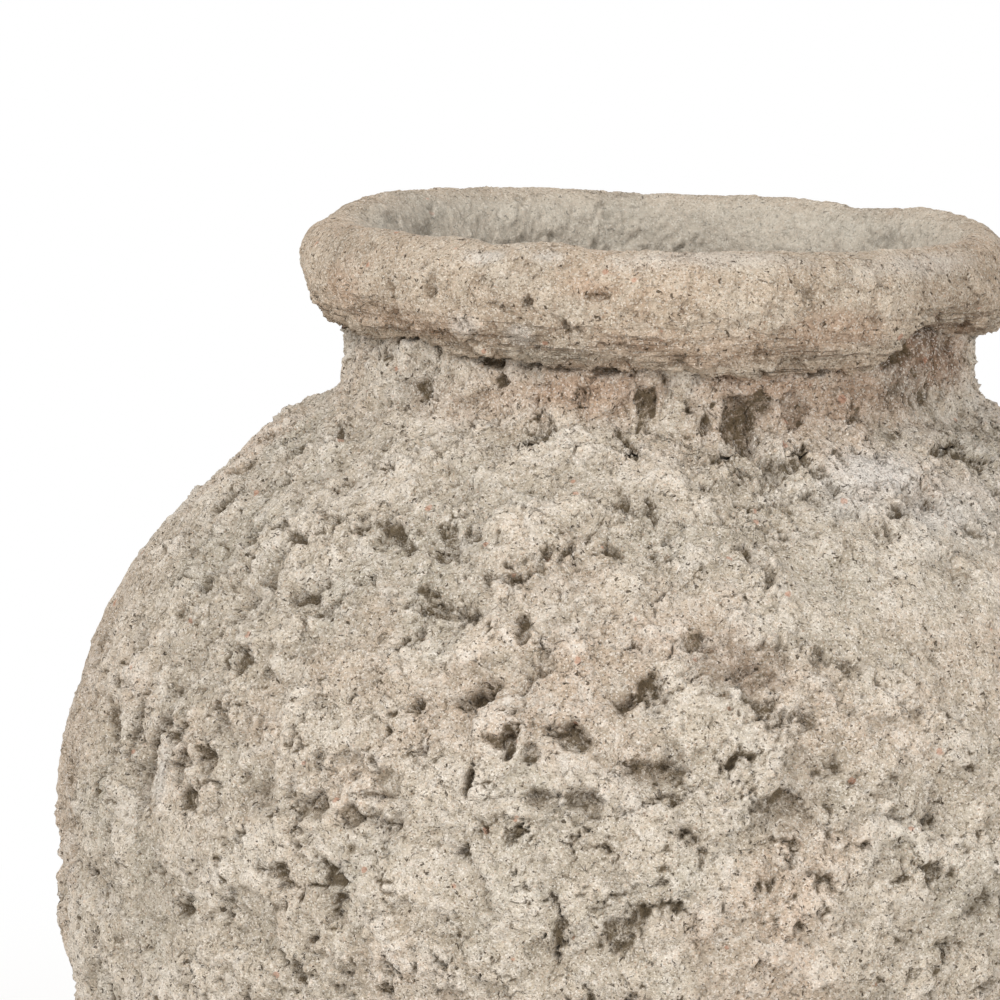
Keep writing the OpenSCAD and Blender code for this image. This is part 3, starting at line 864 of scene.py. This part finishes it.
def clayMaterial(look):
    material = bpy.data.materials.new(look["name"])
    material.use_nodes = True
    tree = material.node_tree
    tree.nodes.clear()
    place = add(tree, "ShaderNodeTexCoord", out="Object")
    placeMm = add(tree, "ShaderNodeVectorMath", {0: place, "Scale": 1 / mm}, operation="SCALE")
    read = {name: add(tree, "ShaderNodeAttribute", out="Fac", attribute_name=name)
            for name in ("relief", "hollow", "lime", "soot", "warm", "layered", "inside")}
    cloud = {name: add(tree, "ShaderNodeTexNoise", {
        "Vector": placeMm, "Scale": 1 / size, "Detail": detail, "Roughness": roughness, "Distortion": twist})
        for name, (size, detail, roughness, twist) in tintClouds.items()}

    # flakes of crust, each at a level of its own from 0 to 1, and crevices along some edges, with painted
    # shadow in them
    flow = add(tree, "ShaderNodeAttribute", out="Vector", attribute_name="flow")
    bare = add(tree, "ShaderNodeMath", {
        0: read["hollow"], 1: pitsBare, 2: cloud["pale"]}, operation="MULTIPLY_ADD")
    some = add(tree, "ShaderNodeMapRange", {"Value": bare, **grows["crevice"]})
    flakes = crevice = 0.0
    for size in flakeSizes:
        cells = add(tree, "ShaderNodeTexVoronoi", {"Vector": flow, "Scale": 1 / size}, out="Color")
        level = add(tree, "ShaderNodeSeparateColor", {0: cells})
        flakes = add(tree, "ShaderNodeMath", {
            0: level, 1: 1 / len(flakeSizes), 2: flakes}, operation="MULTIPLY_ADD")
    for size in flakeSizes[:crackedFlakes]:
        gap = add(tree, "ShaderNodeTexVoronoi", {"Vector": flow, "Scale": 1 / size}, out="Distance",
                  feature="DISTANCE_TO_EDGE")
        narrow = add(tree, "ShaderNodeMapRange", {
            "Value": gap, "From Min": creviceEdge / size, "From Max": creviceCore / size, "To Max": some})
        crevice = add(tree, "ShaderNodeMath", {0: crevice, 1: narrow}, operation="MAXIMUM")

    # sand: each grain has a tone of its own
    grains = add(tree, "ShaderNodeTexVoronoi", {"Vector": placeMm, "Scale": 1 / sandGrain}).node.outputs
    tone = add(tree, "ShaderNodeSeparateColor", {0: grains["Color"]}).node.outputs
    pore = add(tree, "ShaderNodeMapRange", {"Value": cloud["pore"], **grows["pore"]})

    # cracks between the thin layers of split clay, in stretches
    flat = add(tree, "ShaderNodeVectorMath", {0: placeMm, 1: drawnOut}, operation="MULTIPLY")
    layers = add(tree, "ShaderNodeTexNoise", {
        "Vector": flat, "Scale": 1 / layerSize, "Detail": 3.0, "Roughness": 0.6, "Distortion": 0.3})
    here = add(tree, "ShaderNodeMapRange", {
        "Value": cloud["pink"], "To Min": leastSplit, "To Max": read["layered"], **grows["stretch"]})
    here = add(tree, "ShaderNodeMath", {0: here, 1: read["layered"]}, operation="MINIMUM")
    split = add(tree, "ShaderNodeMapRange", {"Value": layers, "To Max": here, **grows["split"]})

    # specks of brick: some of the cells hold a round one
    cells = add(tree, "ShaderNodeTexVoronoi", {"Vector": placeMm, "Scale": 1 / speckSpacing}).node.outputs
    chance = add(tree, "ShaderNodeSeparateColor", {0: cells["Color"]})
    wide = add(tree, "ShaderNodeMapRange", {"Value": chance, "To Max": speckReach, **grows["speck"]})
    within = add(tree, "ShaderNodeMath", {0: wide, 1: cells["Distance"]}, operation="SUBTRACT")
    speck = add(tree, "ShaderNodeMapRange", {
        "Value": within, "From Max": speckEdge}, interpolation_type="SMOOTHSTEP")

    # dirt with painted shade, and soot with painted shade under the lip, lie in gritty spots, and thickest
    # where the clay is least pale
    spotted = add(tree, "ShaderNodeMapRange", {"Value": cloud["pale"], **grows["dirt"]})
    spotted = add(tree, "ShaderNodeMath", {
        0: cloud["grit"], 1: spotGrit, 2: spotted}, operation="MULTIPLY_ADD")
    spottedDirtAndShade = add(tree, "ShaderNodeMath", {0: read["hollow"], 1: spotted}, operation="MULTIPLY")
    spottedSootAndShade = add(tree, "ShaderNodeMath", {0: read["soot"], 1: spotted}, operation="MULTIPLY")

    # tints from the lowest to the topmost: what drives each one, and where it begins and is full
    colour = linear(look["body"])
    for name, source, begins, full in (
        ("green", cloud["green"], 0.5, 0.38),
        ("pink", cloud["pink"], 0.5, 0.66),
        # low darkens the low parts of the relief: their grey-green tone, with painted shade
        ("low", read["relief"], 0.4, -1.6),
        ("high", read["relief"], 0.0, 1.6),
        ("pale", cloud["pale"], 0.48, 0.66),
        ("dark", cloud["dark"], 0.5, 0.32),
        ("flakeLow", flakes, 0.47, 0.17),
        ("flakeHigh", flakes, 0.53, 0.83),
        ("split", split, 0.0, 1.0),
        # soot, and painted shade on the neck under the lip
        ("soot", spottedSootAndShade, 0.0, 0.8),
        ("warm", read["warm"], 0.0, 1.0),
        ("lime", read["lime"], 0.0, 1.0),
        ("darkGrain", tone["Red"], 0.7, 1.0),
        ("paleGrain", tone["Green"], 0.7, 1.0),
        ("pinkGrain", tone["Blue"], 0.9, 1.0),
        ("speck", speck, 0.0, 1.0),
        # dirt and painted shade in pits and hollows
        ("hollow", spottedDirtAndShade, 0.1, 0.85),
        # painted shadow in the crevices
        ("crevice", crevice, 0.0, 1.0),
        ("pore", pore, 0.0, 1.0),
        ("inner", read["inside"], 0.0, 1.0),
    ):
        tint, most = look[name]
        share = add(tree, "ShaderNodeMapRange", {
            "Value": source, "From Min": begins, "From Max": full, "To Max": most})
        colour = add(tree, "ShaderNodeMix", {0: share, 6: colour, 7: linear(tint)}, out=2, data_type="RGBA")

    # relief finer than the mesh, in mm
    fine = 0.0
    for source, height in (
        (grains["Distance"], -0.3),
        (cloud["grit"], 0.3),
        (cloud["dark"], 0.7),
        (flakes, 1.5),
        (pore, -0.7),
        (crevice, -0.6),
        (split, -0.7),
    ):
        fine = add(tree, "ShaderNodeMath", {0: source, 1: height, 2: fine}, operation="MULTIPLY_ADD")
    softer = add(tree, "ShaderNodeMapRange", {"Value": read["inside"], "To Min": 1.0, "To Max": insideBump})
    bump = add(tree, "ShaderNodeBump", {"Height": fine, "Strength": softer, "Distance": mm})
    shader = add(tree, "ShaderNodeBsdfPrincipled", {"Base Color": colour, "Normal": bump, **dryClay})
    add(tree, "ShaderNodeOutputMaterial", {"Surface": shader})
    return material


finishes = {look["name"]: clayMaterial(look) for look in (limeCrusted, sandSmoothed, innerClay)}
finishOf = {"rim_coil": sandSmoothed, "base_slab": innerClay, "inner_fillet_coil": innerClay}
print("finishes mixed")

# Pieces

solids = bpy.data.collections.new("solids")
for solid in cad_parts.values():
    solids.objects.link(solid)


def weatherPiece(node, look):
    rows, corners = profiles[node]
    words = node.split("_")
    name = words[0] + "".join(word.title() for word in words[1:])
    piece = bpy.data.objects.new(name, turnClay(node, look, rows, corners))
    scene.collection.objects.link(piece)
    modifier = piece.modifiers.new("weathering", "NODES")
    modifier.node_group = weathered
    modifier[inputOf["Solids"]] = solids
    modifier[inputOf["Material"]] = finishes[finishOf.get(node, limeCrusted)["name"]]
    for setting, value in look.get("weathering", {}).items():
        modifier[inputOf[setting]] = value
    ready = piece.evaluated_get(bpy.context.evaluated_depsgraph_get())
    mesh = bpy.data.meshes.new_from_object(ready)
    piece.modifiers.remove(modifier)
    piece.data = mesh
    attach(piece, "root")
    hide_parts(node)
    print(" ", name, 2 * len(mesh.polygons), "triangles")
    return len(mesh.polygons)


faceCount = sum(weatherPiece(node, look) for node, look in lookOf.items())
bpy.data.collections.remove(solids)
print("pieces weathered,", faceCount, "faces")

# Stage

studio = {
    "floor": "#F4F2EF",
    "floorRadius": 1.3,
    "whiteFrom": 0.25,  # the floor turns white between these distances from the axis
    "whiteAt": 0.95,
    "world": 0.5,
    "aim": (0, 0, 0.25),  # where the lamps point
}
lamps = {
    "keyLight": {"place": (-1.4, -1.35, 1.8), "size": 1.3, "power": 42.0},
    "fillLight": {"place": (1.2, -1.9, 0.8), "size": 1.6, "power": 24.0},
    "backLight": {"place": (0.7, 1.9, 1.2), "size": 1.6, "power": 18.0},
}


# 1 for what the camera sees, also in a mirror or through glass, and 0 for light that falls on the vase
def isSeen(tree):
    path = add(tree, "ShaderNodeLightPath").node.outputs
    seen = path["Is Camera Ray"]
    for ray in ("Is Glossy Ray", "Is Transmission Ray"):
        seen = add(tree, "ShaderNodeMath", {0: seen, 1: path[ray]}, operation="MAXIMUM")
    return seen


# white paper that keeps the shadow near the vase
def makeFloor():
    bpy.ops.mesh.primitive_circle_add(vertices=96, radius=studio["floorRadius"], fill_type="NGON")
    floor = bpy.context.object
    floor.name = "floor"
    material = bpy.data.materials.new("white paper sweep")
    material.use_nodes = True
    tree = material.node_tree
    tree.nodes.clear()
    paper = add(tree, "ShaderNodeBsdfPrincipled", {"Base Color": linear(studio["floor"]), "Roughness": 0.9})
    glow = add(tree, "ShaderNodeEmission")
    place = add(tree, "ShaderNodeTexCoord", out="Object")
    away = add(tree, "ShaderNodeVectorMath", {0: place}, out="Value", operation="LENGTH")
    fade = add(tree, "ShaderNodeMapRange", {
        "Value": away, "From Min": studio["whiteFrom"], "From Max": studio["whiteAt"]},
        interpolation_type="SMOOTHSTEP")
    share = add(tree, "ShaderNodeMath", {0: fade, 1: isSeen(tree)}, operation="MULTIPLY")
    surface = add(tree, "ShaderNodeMixShader", {0: share, 1: paper, 2: glow})
    add(tree, "ShaderNodeOutputMaterial", {"Surface": surface})
    floor.data.materials.append(material)


def makeWorld():
    world = bpy.data.worlds.new("studio")
    world.use_nodes = True
    scene.world = world
    tree = world.node_tree
    tree.nodes.clear()
    strength = add(tree, "ShaderNodeMapRange", {
        "Value": isSeen(tree), "To Min": studio["world"], "To Max": 1.0})
    background = add(tree, "ShaderNodeBackground", {"Color": (1, 1, 1, 1), "Strength": strength})
    add(tree, "ShaderNodeOutputWorld", {"Surface": background})


def makeLamp(name, look):
    data = bpy.data.lights.new(name, "AREA")
    data.size = look["size"]
    data.energy = look["power"]
    lamp = bpy.data.objects.new(name, data)
    lamp.location = look["place"]
    toAim = Vector(studio["aim"]) - Vector(look["place"])
    lamp.rotation_euler = toAim.to_track_quat("-Z", "Y").to_euler()
    lamp.visible_camera = False
    scene.collection.objects.link(lamp)


makeFloor()
makeWorld()
for name, look in lamps.items():
    makeLamp(name, look)
print("stage and lights set")
